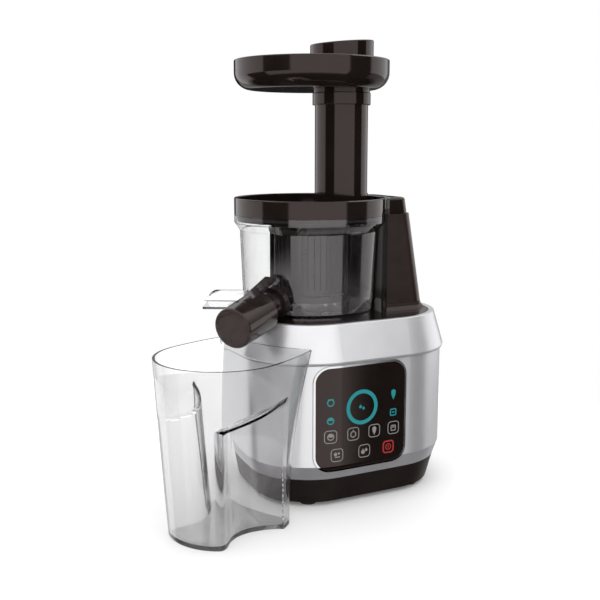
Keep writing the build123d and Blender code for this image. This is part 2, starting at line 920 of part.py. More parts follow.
def wiper_idler():
    x, y = post_places()[0]
    return Pos(x, y, 0) * gear(
        idler_teeth, wiper_module, wheel_level, wheel_level + wheel_face, post_r + running_fit, idler_turn
    )


def auger():
    core_low = strainer_low + strainer_floor_t + slip_fit
    screw = disc(auger_core_r, core_low, auger_top) + disc(auger_neck_r, auger_low, core_low)
    screw += gear_blank(sun_teeth, wiper_module, wheel_level, wheel_level + wheel_face)
    turns_h = auger_top - core_low - 2 * flight_t
    path = Helix(flight_pitch, turns_h, auger_core_r, center=(0, 0, core_low + flight_t))
    start = Plane(origin=path @ 0, x_dir=(1, 0, 0), z_dir=path % 0)
    rib = auger_r - auger_core_r
    section = start * Pos((rib - flight_root) / 2, 0) * Rectangle(rib + flight_root, flight_t)
    screw += sweep(section, path=path, is_frenet=True)
    screw += Pos(0, 0, auger_top) * Cone(auger_core_r, auger_cone_r, auger_cone_h, align=upright)
    screw += disc(auger_pin_r, auger_top, auger_pin_top)
    return screw - hex_prism(hex_flats + 2 * slip_fit, auger_low, hex_top + slip_fit)


def outlet_window():
    """Bar through the lower wall of the spout and its sleeve, where juice falls."""
    middle = spout_length() - sleeve_end_t - slip_fit - sleeve_window_back - sleeve_window / 2
    bar = Box(sleeve_window, 2 * sleeve_r, sleeve_window, align=(Align.CENTER, Align.MAX, Align.CENTER))
    return spout_frame() * Pos(0, -sleeve_window_level, middle) * bar


def juice_spout():
    end = spout_length() - sleeve_end_t - slip_fit
    body = along_spout(spout_tube_r, 0, end) + along_spout(spout_flange_r, 0, spout_flange_t)
    body -= bowl_profile(seat_gap)
    body += along_spout(spout_bore_r + spout_plug_wall - seat_gap, -bowl_wall, spout_flange_t)
    body -= along_spout(spout_bore_r, -2 * bowl_wall, end - sleeve_end_t)
    return body - outlet_window() - bowl_hollow()


def lever_bar(start):
    """Bar that leaves the top of the sleeve and reaches back over the flange to the bowl."""
    root = sleeve_root_r - sleeve_tab_sink
    tip = sleeve_root_r + lever_rise
    side_view = Polyline(
        (start + lever_hold, root), (lever_gap, tip), (lever_gap, tip - lever_t), (start, root), close=True
    )
    across = Plane(origin=(lever_w / 2, 0, 0), x_dir=(0, 0, 1), z_dir=(-1, 0, 0))
    return extrude(across * make_face(side_view), lever_w)


def drip_stop_sleeve():
    end = spout_length()
    start = end - sleeve_len
    frame = spout_frame()
    cup = frame * Pos(0, 0, start) * Cone(sleeve_root_r, sleeve_r, sleeve_len, align=upright)
    rim = cup.edges().filter_by(GeomType.CIRCLE).sort_by(Axis(frame.origin, frame.z_dir))[-1]
    cup = fillet(rim, sleeve_end_t)
    tab = Pos(-sleeve_tab_w / 3, -sleeve_r + sleeve_tab_sink, start + sleeve_tab_len / 2)
    cup += frame * tab * Box(sleeve_tab_w, 2 * sleeve_tab_h, sleeve_tab_len)
    cup += frame * lever_bar(start)
    cup -= along_spout(spout_tube_r + slip_fit, start, end - sleeve_end_t)
    taper = (sleeve_root_r - sleeve_r) / sleeve_len
    for side in (-1, 1):
        for row in range(2):
            back = lever_hold + sleeve_bump_first + sleeve_bump_step * row
            surface = math.sqrt((sleeve_root_r - taper * back) ** 2 - sleeve_bump_across**2)
            bump = Pos(side * sleeve_bump_across, surface - sleeve_bump_sink, start + back)
            cup += frame * bump * Sphere(sleeve_bump_r)
    return cup - outlet_window()


# Lid, tray and pusher


def lid():
    """Floor of the lid, with the plug and the hopper under it."""
    rim_low = bowl_rim_z + seat_gap
    floor_r = bowl_rim_r - lid_wall
    hopper_r = strainer_r - strainer_wall
    cap = disc(floor_r, lid_floor_z, lid_floor_top)
    cap += ring(plug_r, plug_r - plug_wall, lid_floor_z - plug_depth, lid_floor_z)
    cap += ring(floor_r, plug_r - plug_wall, rim_low, lid_floor_z)
    cap += ring(hopper_r + hopper_wall, hopper_r, hopper_low, lid_floor_z)
    throat = disc(chute_bore_r, lid_floor_z, lid_floor_top, chute_x)
    cap -= throat & disc(hopper_r, lid_floor_z, lid_floor_top)
    boss_low = auger_pin_top - pin_boss_h
    cap += disc(auger_pin_r + pin_boss_wall, boss_low, lid_floor_z)
    cap -= disc(auger_pin_r + running_fit, boss_low, auger_pin_top + slip_fit)
    return cap - ring(plug_r, plug_r - lid_seal_depth, lid_seal_low, lid_seal_low + lid_seal_h)


def lid_band():
    """Outer band of the lid, welded round its floor."""
    band = ring(bowl_rim_r, bowl_rim_r - lid_wall, bowl_rim_z + seat_gap, lid_top)
    return fillet(edges_at(band, lid_top), wall_edge(lid_edge, lid_wall))


def feed_chute():
    """Tube welded on the lid's floor, with a low ring round its foot."""
    tube = disc(chute_r, lid_floor_top, chute_top, chute_x)
    tube += disc(chute_foot_r, lid_floor_top, lid_top + chute_foot_h, chute_x)
    return tube - disc(chute_bore_r, lid_floor_top, chute_top, chute_x)


def lid_seal():
    low = lid_seal_low + running_fit
    high = lid_seal_low + lid_seal_h - running_fit
    return ring(plug_r + slip_fit, plug_r - lid_seal_depth + running_fit, low, high)


def feed_tray():
    bowl_side = tray_r - tray_wall
    bend = tray_edge_r
    inner_bend = bend - tray_wall
    outline = [
        Line((0, tray_low), (tray_r - bend, tray_low)),
        RadiusArc((tray_r - bend, tray_low), (tray_r, tray_low + bend), -bend),
        Line((tray_r, tray_low + bend), (tray_r, tray_top)),
        Line((tray_r, tray_top), (bowl_side, tray_top)),
        Line((bowl_side, tray_top), (bowl_side, tray_floor + inner_bend)),
        RadiusArc((bowl_side, tray_floor + inner_bend), (bowl_side - inner_bend, tray_floor), inner_bend),
        Line((bowl_side - inner_bend, tray_floor), (0, tray_floor)),
        Line((0, tray_floor), (0, tray_low)),
    ]
    dish = Pos(tray_x, 0, 0) * revolve(Plane.XZ * make_face(outline), Axis.Z)
    dish = fillet(edges_at(dish, tray_top), wall_edge(tray_rim_edge, tray_wall))
    socket_top = chute_top + seat_gap
    collar = disc(collar_r, collar_low, collar_low + collar_h, chute_x)
    dish += fillet(collar.edges().filter_by(GeomType.CIRCLE), wall_edge(collar_edge, collar_r - chute_r))
    dish += disc(collar_neck_r, collar_low, tray_floor + mouth_h, chute_x)
    dish -= disc(chute_bore_r, collar_low, tray_top, chute_x)
    return dish - disc(chute_r + slip_fit, collar_low, socket_top, chute_x)


def pusher():
    head_low = tray_floor + mouth_h + seat_gap
    head = disc(pusher_r, head_low, pusher_top + pusher_r, chute_x)
    slant = Pos(chute_x, 0, pusher_top) * Rot(0, -pusher_tilt, 0) * Pos(pusher_r, 0, 0)
    head -= slant * Box(6 * pusher_r, 4 * pusher_r, 4 * pusher_r, align=upright)
    dish = Cylinder(pusher_r - pusher_rim, 4 * pusher_r, align=upright)
    head -= slant * Pos(-pusher_r, 0, -pusher_dish) * dish
    head = fillet(head.faces().sort_by(Axis.Z)[-1].edges(), wall_edge(pusher_edge, pusher_rim))
    stem_r = chute_bore_r - pusher_slip
    slant_drop = 2 * pusher_r * math.tan(math.radians(pusher_tilt))
    hollow_top = pusher_top - slant_drop - pusher_dish - pusher_wall
    stem = disc(stem_r, pusher_low, head_low, chute_x)
    return head + stem - disc(stem_r - pusher_wall, pusher_low, hollow_top, chute_x)


# Rinse tank


def tank_section(inset, z):
    """Plan of the tank at one level, before the bowl's clearance is cut from it."""
    share = (z - deck_top) / (tank_top - deck_top)
    far_x = tank_near_x + tank_low_depth + (tank_high_depth - tank_low_depth) * share - inset
    half = tank_low_half_y + (tank_high_half_y - tank_low_half_y) * share - inset
    near_x = bowl_rim_r / 2
    corner = tank_corner - min(inset, tank_corner / 2)
    return Pos((near_x + far_x) / 2, 0, z) * RectangleRounded(far_x - near_x, 2 * half, corner)


def tank_block(inset, z0, z1):
    block = loft([tank_section(inset, z0), tank_section(inset, z1)], ruled=True)
    return block - disc(tank_near_x + inset, z0, z1)


def tank_dock():
    foot = loft([tank_section(-dock_flare, deck_top), tank_section(-dock_flare / 4, deck_top + dock_h / 2),
                 tank_section(0, deck_top + dock_h)], ruled=True)
    foot -= disc(tank_near_x, deck_top, deck_top + dock_h)
    return foot - disc(valve_r, deck_top, deck_top + dock_h, tank_outlet_x)


def rinse_tank():
    body = tank_block(0, tank_low, tank_cap_z) - tank_block(tank_wall, tank_low + tank_wall, tank_cap_z)
    return body - disc(valve_stem_r + slip_fit, tank_low, tank_low + tank_wall, tank_outlet_x)


def tank_valve():
    low = tank_low - dock_h / 2
    floor_top = tank_low + tank_wall
    high = floor_top + valve_cap_h
    cup = disc(valve_r - slip_fit, low, tank_low - seat_gap, tank_outlet_x)
    stem = disc(valve_stem_r, low, high, tank_outlet_x)
    cap = disc(valve_r - slip_fit, floor_top + seat_gap, high, tank_outlet_x)
    return cup + stem + cap


def tank_cap():
    low = tank_cap_z + seat_gap
    plug_in = tank_wall + tank_plug_slip
    hollow_in = plug_in + tank_cap_wall
    cap = tank_block(tank_cap_step, low, tank_top) + tank_block(plug_in, tank_cap_z - tank_plug_h, low)
    cap = fillet(edges_at(cap, tank_top), tank_cap_edge)
    return cap - tank_block(hollow_in, tank_cap_z - tank_plug_h, tank_top - tank_cap_wall)


def rinse_pump():
    port_z = deck_low - pump_h / 2
    body = disc(pump_r, deck_low - pump_h, deck_low, tank_outlet_x)
    port = Pos(tank_outlet_x, 0, port_z) * Rot(0, -90, 0)
    body += port * Cylinder(hose_r + port_wall, pump_r + port_len, align=upright)
    return body - disc(pump_bore_r, port_z, deck_low, tank_outlet_x)


def rinse_hose():
    z = deck_low - pump_h / 2
    start_x = tank_outlet_x - pump_r - port_len - seat_gap
    stations = [
        (start_x, 0, z),
        (start_x - hose_straight, 0, z),
        (nozzle_x, nozzle_y, z),
        (nozzle_x, nozzle_y, deck_low - seat_gap),
    ]
    route = FilletPolyline(*stations, radius=hose_bend)
    section = Plane(origin=route @ 0, z_dir=route % 0) * (Circle(hose_r) - Circle(hose_r - hose_wall))
    return sweep(section, path=route)


def rinse_nozzle():
    high = bowl_under - seat_gap
    return ring(nozzle_r, hose_r - hose_wall, deck_low, high, nozzle_x, nozzle_y)


# Jug


def jug_section(z, round_r, hollow, tip, tip_r, inset):
    across, along = tip
    left = (-across, along)
    right = (across, along)
    flank = (round_r, jug_centre)
    outline = [
        ThreePointArc(left, (0, hollow), right),
        TangentArc(flank, right, tangent=(0, -1)),
        ThreePointArc(flank, (0, jug_centre + round_r), (-round_r, jug_centre)),
        TangentArc((-round_r, jug_centre), left, tangent=(0, -1)),
    ]
    plan = make_face(outline)
    tips = plan.vertices().group_by(Axis.Y)[0]
    plan = fillet(tips, tip_r)
    if inset:
        plan = offset(plan, -inset)
    return Pos(0, 0, z) * plan


def jug_block(inset, floor):
    """Loft of the jug's plan, drawn in by inset, from the floor level to the rim."""
    sections = [
        jug_section(0, jug_round_low, jug_hollow_low, jug_tip_low, jug_tip_r_low, inset),
        jug_section(jug_mid_z, jug_round_mid, jug_hollow_mid, jug_tip_mid, jug_tip_r_mid, inset),
        jug_section(jug_h, jug_round_high, jug_hollow_high, jug_tip_high, jug_tip_r_high, inset),
    ]
    block = loft(sections)
    for side in (-1, 1):
        scoop = Cone(grip_r + grip_flare + inset, grip_r + inset, grip_top_z, align=upright)
        scoop += disc(grip_r + inset, grip_top_z, jug_h)
        scoop = Pos(0, 0, grip_top_z) * Rot(-grip_lean, 0, 0) * Pos(0, 0, -grip_top_z) * scoop
        roof = Pos(0, 0, grip_top_z + inset) * Rot(-grip_tilt, 0, 0)
        roof = roof * Box(6 * grip_r, 6 * grip_r, 4 * jug_h, align=upright)
        block -= Pos(side * grip_out, grip_along, 0) * (scoop - roof)
    if floor:
        span = 4 * jug_centre
        block -= Box(span, span, 2 * floor)
    return block


def jug():
    shell = jug_block(0, 0) - jug_block(jug_wall, jug_floor)
    return Pos(hollow_x, hollow_y, 0) * Rot(0, 0, jug_heading - 90) * Pos(0, base_corner, 0) * shell


pieces = {
    "bottom_cover": bottom_cover(),
    "rubber_feet": rubber_feet(),
    "cover_screws": cover_screws(),
    "lower_shell": lower_shell(),
    "upper_shell": upper_shell(),
    "deck": deck(),
    "cord_gland": cord_gland(),
    "panel_glass": panel_glass(),
    "panel_bezel": panel_bezel(),
    "control_board": control_board(),
    "gearbox_housing": gearbox_housing(),
    "gearbox_cover": gearbox_cover(),
    "output_bearing": output_bearing(),
    "shaft_bush": shaft_bush(),
    "cluster_pin": cluster_pin(),
    "drive_shaft": drive_shaft(),
    "output_gear": output_gear(),
    "reduction_gear": reduction_gear(),
    "motor_frame": motor_frame(),
    "motor_stator": motor_stator(),
    "motor_bushes": motor_bushes(),
    "motor_rotor": motor_rotor(),
    "motor_pinion": motor_pinion(),
    "cooling_fan": cooling_fan(),
    "bowl": bowl(),
    "bowl_seal": bowl_seal(),
    "strainer": strainer(),
    "wiper_frame": wiper_frame(),
    "wiper_blades": wiper_blades(),
    "wiper_idler": wiper_idler(),
    "auger": auger(),
    "juice_spout": juice_spout(),
    "drip_stop_sleeve": drip_stop_sleeve(),
    "lid": lid(),
    "lid_band": lid_band(),
    "lid_seal": lid_seal(),
    "feed_chute": feed_chute(),
    "feed_tray": feed_tray(),
    "pusher": pusher(),
    "tank_dock": tank_dock(),
    "rinse_tank": rinse_tank(),
    "tank_valve": tank_valve(),
    "tank_cap": tank_cap(),
    "rinse_pump": rinse_pump(),
    "rinse_hose": rinse_hose(),
    "rinse_nozzle": rinse_nozzle(),
    "jug": jug(),
}

# The frame's origin is the middle of the footprint, on the floor
boxes = [piece.bounding_box() for piece in pieces.values()]
middle_x = (min(box.min.X for box in boxes) + max(box.max.X for box in boxes)) / 2
middle_y = (min(box.min.Y for box in boxes) + max(box.max.Y for box in boxes)) / 2

os.makedirs("parts", exist_ok=True)
for name, piece in pieces.items():
    export_step(Pos(-middle_x, -middle_y, 0) * piece, f"parts/{name}.step")
print("bowl axis at", round(-middle_x, 3), round(-middle_y, 3))
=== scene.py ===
import json
import math

import bpy
from mathutils import Matrix, Vector


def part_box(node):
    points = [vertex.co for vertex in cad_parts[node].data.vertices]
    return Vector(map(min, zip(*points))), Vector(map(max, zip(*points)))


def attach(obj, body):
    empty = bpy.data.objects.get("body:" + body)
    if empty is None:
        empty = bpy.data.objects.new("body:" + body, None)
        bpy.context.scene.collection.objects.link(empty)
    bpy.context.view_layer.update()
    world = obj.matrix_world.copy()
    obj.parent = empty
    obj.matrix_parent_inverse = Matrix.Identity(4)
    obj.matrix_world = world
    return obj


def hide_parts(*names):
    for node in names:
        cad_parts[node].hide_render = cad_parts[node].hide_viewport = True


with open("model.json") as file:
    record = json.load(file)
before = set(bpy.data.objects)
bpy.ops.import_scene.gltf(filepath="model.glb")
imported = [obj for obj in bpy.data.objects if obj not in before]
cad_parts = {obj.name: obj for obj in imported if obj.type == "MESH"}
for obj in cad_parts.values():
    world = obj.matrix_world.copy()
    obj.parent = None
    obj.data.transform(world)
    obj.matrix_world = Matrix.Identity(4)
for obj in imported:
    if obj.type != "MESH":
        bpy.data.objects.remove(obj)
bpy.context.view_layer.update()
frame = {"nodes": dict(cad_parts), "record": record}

# Looks of an upright slow juicer with a rinse tank and a clear jug.
# Metres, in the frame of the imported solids: +Z up, the control panel faces -Y.

mm = 0.001


# Places read from the frame


def middle(node):
    low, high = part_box(node)
    return (low + high) / 2


panel_middle = middle("panel_glass")
panel_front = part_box("panel_glass")[0].y

# The viewing point of the photograph, and the heading from it
eye = Vector((-397.8, -793.2, 345.35)) * mm
eye_heading = math.radians(27.0)
eye_pitch = math.radians(9.76)
eye_lens = 55.26
eye_sensor = 36.0


# Small tools for shaping


def start(name, add, **sizes):
    """A new primitive under its own name, open in edit mode with all of it selected."""
    bpy.ops.object.select_all(action="DESELECT")
    add(**sizes)
    piece = bpy.context.object
    piece.name = name
    piece.data.name = name
    bpy.ops.object.mode_set(mode="EDIT")
    bpy.ops.mesh.select_all(action="SELECT")
    return piece


def done(piece):
    """Back to object mode, with the place in the mesh."""
    bpy.ops.object.mode_set(mode="OBJECT")
    bpy.ops.object.transform_apply(location=True, rotation=True, scale=True)
    return piece


def only(piece):
    bpy.ops.object.select_all(action="DESELECT")
    piece.select_set(True)
    bpy.context.view_layer.objects.active = piece


def finish_with(piece, kind, **settings):
    """Adds one modifier with these settings and applies it."""
    only(piece)
    modifier = piece.modifiers.new(kind.lower(), kind)
    for name, value in settings.items():
        setattr(modifier, name, value)
    bpy.ops.object.modifier_apply(modifier=modifier.name)
    return piece


def joined(name, pieces):
    bpy.ops.object.select_all(action="DESELECT")
    for piece in pieces:
        piece.select_set(True)
    bpy.context.view_layer.objects.active = pieces[0]
    bpy.ops.object.join()
    whole = bpy.context.object
    whole.name = name
    whole.data.name = name
    return whole


def fit(piece, body, finish):
    """Gives a piece its finish and its body."""
    piece.data.materials.clear()
    piece.data.materials.append(finish)
    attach(piece, body)
    return piece


# Finishes


noise_low, noise_high = 0.3, 0.7


def shader(name):
    """A new material and its main shader."""
    finish = bpy.data.materials.new(name)
    finish.use_nodes = True
    return finish, finish.node_tree.nodes["Principled BSDF"]


def tree_of(finish):
    return finish.node_tree.nodes, finish.node_tree.links


def carried_over(tree, value, low, high, to_low=0.0, to_high=1.0):
    """A value between low and high, carried over to another span."""
    nodes, links = tree
    span = nodes.new("ShaderNodeMapRange")
    for end, number in (("From Min", low), ("From Max", high), ("To Min", to_low), ("To Max", to_high)):
        span.inputs[end].default_value = number
    links.new(value, span.inputs["Value"])
    return span.outputs["Result"]


def axes_of(tree, vector):
    """X, Y and Z of a vector."""
    nodes, links = tree
    axes = nodes.new("ShaderNodeSeparateXYZ")
    links.new(vector, axes.inputs["Vector"])
    return axes.outputs


def noise_on_object(finish, size, detail=3.0):
    """Noise whose grain is about size metres, fixed to the piece."""
    nodes, links = tree_of(finish)
    place = nodes.new("ShaderNodeTexCoord")
    noise = nodes.new("ShaderNodeTexNoise")
    noise.inputs["Scale"].default_value = 1 / size
    noise.inputs["Detail"].default_value = detail
    links.new(place.outputs["Object"], noise.inputs["Vector"])
    return noise.outputs["Fac"]


def colour_by(finish, noise, dark, light):
    nodes, links = tree_of(finish)
    ramp = nodes.new("ShaderNodeValToRGB")
    ends = ramp.color_ramp.elements
    ends[0].position, ends[1].position = noise_low, noise_high
    ends[0].color, ends[1].color = (*dark, 1), (*light, 1)
    links.new(noise, ramp.inputs["Fac"])
    links.new(ramp.outputs["Color"], nodes["Principled BSDF"].inputs["Base Color"])


def roughness_by(finish, noise, low, high):
    nodes, links = tree_of(finish)
    gloss = carried_over((nodes, links), noise, noise_low, noise_high, low, high)
    links.new(gloss, nodes["Principled BSDF"].inputs["Roughness"])


def skin_by(finish, noise, strength, depth):
    nodes, links = tree_of(finish)
    bump = nodes.new("ShaderNodeBump")
    bump.inputs["Strength"].default_value = strength
    bump.inputs["Distance"].default_value = depth
    links.new(noise, bump.inputs["Height"])
    links.new(bump.outputs["Normal"], nodes["Principled BSDF"].inputs["Normal"])


def moulded(name, dark, light, gloss, grain, depth, **sockets):
    """Moulded plastic or cast metal: slow flow marks in colour and gloss, and a fine skin."""
    finish, surface = shader(name)
    flow = noise_on_object(finish, 18 * mm)
    colour_by(finish, flow, dark, light)
    roughness_by(finish, flow, *gloss)
    skin_by(finish, noise_on_object(finish, grain, 2.0), 0.3, depth)
    for socket, value in sockets.items():
        surface.inputs[socket.replace("_", " ")].default_value = value
    return finish


warm_sheen = (1.0, 0.80, 0.77, 1)


def dark_gloss():
    return moulded("dark_gloss", (0.011, 0.0075, 0.0065), (0.0135, 0.0095, 0.008), (0.07, 0.1),
                   2.5 * mm, 0.002 * mm, Specular_Tint=warm_sheen)


# Painted shade on the rinse tank's side toward the bowl: which faces count, and their shine there and
# elsewhere
faces_bowl = (-0.8, -0.5)
painted_shade_shine, shine_outside = 0.05, 0.5


def tank_satin_and_shade():
    """Dark satin plastic, shiny outside, with painted shade on the side toward the bowl, whose faces are
    made matt.
    """
    finish = moulded("tank_satin_and_shade", (0.022, 0.0155, 0.0135), (0.026, 0.019, 0.017), (0.16, 0.2),
                     2.5 * mm, 0.002 * mm, Specular_Tint=warm_sheen)
    nodes, links = tree_of(finish)
    # Painted shade: the specular level falls on faces turned toward the bowl, so that side reads darker
    place = nodes.new("ShaderNodeTexCoord")
    across = axes_of((nodes, links), place.outputs["Normal"])["X"]
    shine = carried_over((nodes, links), across, *faces_bowl, painted_shade_shine, shine_outside)
    links.new(shine, nodes["Principled BSDF"].inputs["Specular IOR Level"])
    return finish


def skirt_satin():
    return moulded("skirt_satin", (0.013, 0.009, 0.008), (0.017, 0.012, 0.010), (0.28, 0.36),
                   0.5 * mm, 0.01 * mm)


def silver_paint():
    """Satin silver paint with very fine flakes."""
    return moulded("silver_paint", (0.76, 0.76, 0.78), (0.79, 0.79, 0.81), (0.285, 0.305),
                   6 * mm, 0.002 * mm, Metallic=0.72)


def bezel_plate():
    return moulded("bezel_plate", (0.74, 0.74, 0.75), (0.8, 0.8, 0.81), (0.14, 0.2),
                   0.6 * mm, 0.001 * mm, Metallic=1.0)


def panel_black():
    return moulded("panel_black", (0.008, 0.0055, 0.0045), (0.010, 0.007, 0.006), (0.03, 0.05),
                   4 * mm, 0.001 * mm, Specular_Tint=warm_sheen)


# Painted shade round the foot of clear pieces: the height it fades over and its colour at the foot
foot_shade_band = 2 * mm
painted_foot_shade = (0.86, 0.85, 0.85, 1)
wall_tint = (0.985, 0.985, 0.985, 1)
grey_inside = (0.30, 0.29, 0.30, 1)
shadow_tint = (0.93, 0.93, 0.93, 1)
jug_bend, jug_grey = 1.45, 66.0
bowl_bend, bowl_grey = 1.62, 85.0


def clear_plastic(name, node, bend, grey):
    """Clear wall that greys where the view runs along it, with painted shade darkening its base colour
    round its foot.
    """
    finish, surface = shader(name)
    nodes, links = tree_of(finish)
    surface.inputs["Transmission Weight"].default_value = 1.0
    surface.inputs["IOR"].default_value = bend
    surface.inputs["Specular Tint"].default_value = (1.0, 0.93, 0.96, 1)
    foot = min(corner.co.z for corner in frame["nodes"][node].data.vertices)
    place = nodes.new("ShaderNodeTexCoord")
    up = axes_of((nodes, links), place.outputs["Object"])["Z"]
    # Painted shade: the base colour darkens toward the lowest point of the piece
    shade = nodes.new("ShaderNodeValToRGB")
    shade.color_ramp.elements[0].color = painted_foot_shade
    shade.color_ramp.elements[1].color = wall_tint
    links.new(carried_over((nodes, links), up, foot, foot + foot_shade_band), shade.inputs["Fac"])
    links.new(shade.outputs["Color"], surface.inputs["Base Color"])
    roughness_by(finish, noise_on_object(finish, 25 * mm), 0.0, 0.006)
    skin_by(finish, noise_on_object(finish, 30 * mm, 1.0), 0.1, 0.002 * mm)
    inside = nodes.new("ShaderNodeVolumeAbsorption")
    inside.inputs["Color"].default_value = grey_inside
    inside.inputs["Density"].default_value = grey
    links.new(inside.outputs["Volume"], nodes["Material Output"].inputs["Volume"])
    # Light for other pieces passes straight through, so that the wall throws only a pale shadow
    path = nodes.new("ShaderNodeLightPath")
    soft_light = nodes.new("ShaderNodeMath")
    soft_light.operation = "MAXIMUM"
    links.new(path.outputs["Is Shadow Ray"], soft_light.inputs[0])
    links.new(path.outputs["Is Diffuse Ray"], soft_light.inputs[1])
    let_through = nodes.new("ShaderNodeBsdfTransparent")
    let_through.inputs["Color"].default_value = shadow_tint
    wall = nodes.new("ShaderNodeMixShader")
    links.new(soft_light.outputs["Value"], wall.inputs["Fac"])
    links.new(surface.outputs["BSDF"], wall.inputs[1])
    links.new(let_through.outputs["BSDF"], wall.inputs[2])
    links.new(wall.outputs["Shader"], nodes["Material Output"].inputs["Surface"])
    return finish


def soft_rubber():
    return moulded("soft_rubber", (0.014, 0.013, 0.013), (0.02, 0.019, 0.019), (0.55, 0.7),
                   0.4 * mm, 0.02 * mm)


def silicone():
    return moulded("silicone", (0.02, 0.018, 0.017), (0.028, 0.026, 0.025), (0.4, 0.5),
                   1 * mm, 0.01 * mm)


def turned_steel():
    return moulded("turned_steel", (0.5, 0.5, 0.5), (0.6, 0.6, 0.6), (0.22, 0.34),
                   0.5 * mm, 0.004 * mm, Metallic=1.0)


def stator_iron():
    return moulded("stator_iron", (0.14, 0.13, 0.13), (0.22, 0.21, 0.2), (0.45, 0.6),
                   0.8 * mm, 0.02 * mm, Metallic=0.8)


def motor_aluminium():
    return moulded("motor_aluminium", (0.6, 0.6, 0.61), (0.7, 0.7, 0.71), (0.3, 0.42),
                   0.6 * mm, 0.01 * mm, Metallic=1.0)


def bush_bronze():
    return moulded("bush_bronze", (0.55, 0.38, 0.17), (0.66, 0.47, 0.22), (0.3, 0.42),
                   0.5 * mm, 0.01 * mm, Metallic=1.0)


def gear_plastic():
    return moulded("gear_plastic", (0.7, 0.69, 0.65), (0.78, 0.77, 0.73), (0.4, 0.5), 1 * mm, 0.01 * mm)


def board_green():
    return moulded("board_green", (0.03, 0.16, 0.07), (0.045, 0.21, 0.1), (0.3, 0.45),
                   1.5 * mm, 0.01 * mm)


def strainer_dark():
    return moulded("strainer_dark", (0.016, 0.013, 0.012), (0.024, 0.02, 0.019), (0.2, 0.26),
                   0.8 * mm, 0.01 * mm)


def wiper_smoke():
    return moulded("wiper_smoke", (0.02, 0.017, 0.016), (0.028, 0.024, 0.023), (0.1, 0.16),
                   1.5 * mm, 0.004 * mm)


def auger_dark():
    return moulded("auger_dark", (0.012, 0.010, 0.009), (0.018, 0.015, 0.014), (0.14, 0.2),
                   1.5 * mm, 0.006 * mm)


def sign_ink(name, dark, light, glow):
    """Printed sign, faintly lit from behind."""
    finish, surface = shader(name)
    grain = noise_on_object(finish, 0.8 * mm)
    colour_by(finish, grain, dark, light)
    roughness_by(finish, grain, 0.3, 0.4)
    surface.inputs["Emission Color"].default_value = (*light, 1)
    surface.inputs["Emission Strength"].default_value = glow
    return finish


finishes = {
    "dark_plastic": dark_gloss(),
    "skirt_plastic": skirt_satin(),
    "silver_paint": silver_paint(),
    "bezel_metal": bezel_plate(),
    "clear_plastic": clear_plastic("jug_clear", "jug", jug_bend, jug_grey),
    "panel_black": panel_black(),
    "soft_rubber": soft_rubber(),
    "wiper_silicone": silicone(),
    "steel": turned_steel(),
    "stator_iron": stator_iron(),
    "motor_aluminium": motor_aluminium(),
    "bush_brass": bush_bronze(),
    "gear_plastic": gear_plastic(),
    "board_laminate": board_green(),
    "strainer_plastic": strainer_dark(),
    "wiper_plastic": wiper_smoke(),
    "auger_plastic": auger_dark(),
}

for subpart in frame["record"]["subparts"]:
    node = frame["nodes"][subpart["node"]]
    node.data.materials.clear()
    node.data.materials.append(finishes[subpart["material_slot"]])

frame["nodes"]["rinse_tank"].data.materials[0] = tank_satin_and_shade()
frame["nodes"]["bowl"].data.materials[0] = clear_plastic("bowl_clear", "bowl", bowl_bend, bowl_grey)


# Clear jug: the solid's shape, with soft edges round its finger grips

jug_heading = math.radians(207.0)
jug_away = Vector((math.cos(jug_heading), math.sin(jug_heading), 0))
jug_across = Vector((math.sin(jug_heading), -math.cos(jug_heading), 0))
jug_levels = (0.0, 108.0 * mm, 160.0 * mm)
jug_centre = 61.6 * mm
jug_round = (50.0 * mm, 57.0 * mm, 60.0 * mm)
jug_hollow = (18.6 * mm, 7.6 * mm, 3.6 * mm)
jug_tip_across = (41.0 * mm, 46.0 * mm, 52.0 * mm)
jug_tip_along = (13.6 * mm, 6.6 * mm, -4.9 * mm)
jug_tip_r = (9.0 * mm, 6.0 * mm, 3.6 * mm)
jug_wall = 2.4 * mm
jug_floor = 4.0 * mm
jug_foot_r = 1.0 * mm
grip_r = 34.0 * mm
grip_flare = 3.0 * mm
grip_out = 61.0 * mm
grip_along = 75.6 * mm
grip_top = 112.0 * mm
grip_lean = math.tan(math.radians(3.0))
grip_fall = math.tan(math.radians(8.0))
grip_slant = math.tan(math.radians(16.0))
grip_mouth = 50.0 * mm
grip_soft = 15.0 * mm
grip_softer = 0.5
grip_turn = 25.0 * mm
grip_climb = 3
roof_soft = 5.0 * mm
plain_middle = 5 * mm
hollow_points, tip_points, flank_points, round_points = 16, 12, 64, 70
foot_rows = 5
rows_up = 130
same_spot = 0.001 * mm


def between(levels, z):
    """Smooth value at height z of a size given at the jug's three levels."""
    total = 0.0
    for i, value in enumerate(levels):
        part = value
        for j, other in enumerate(jug_levels):
            if j != i:
                part *= (z - other) / (jug_levels[i] - other)
        total += part
    return total


def soft_low(a, b, blend):
    """The lower of two values, rounded where they meet."""
    share = min(max(0.5 + 0.5 * (b - a) / blend, 0.0), 1.0)
    return b + (a - b) * share - blend * share * (1 - share)


def arc(centre, radius, first, last, steps):
    """Points round an arc, without the last one."""
    turns = [first + (last - first) / steps * i for i in range(steps)]
    return [(centre[0] + radius * math.cos(turn), centre[1] + radius * math.sin(turn)) for turn in turns]


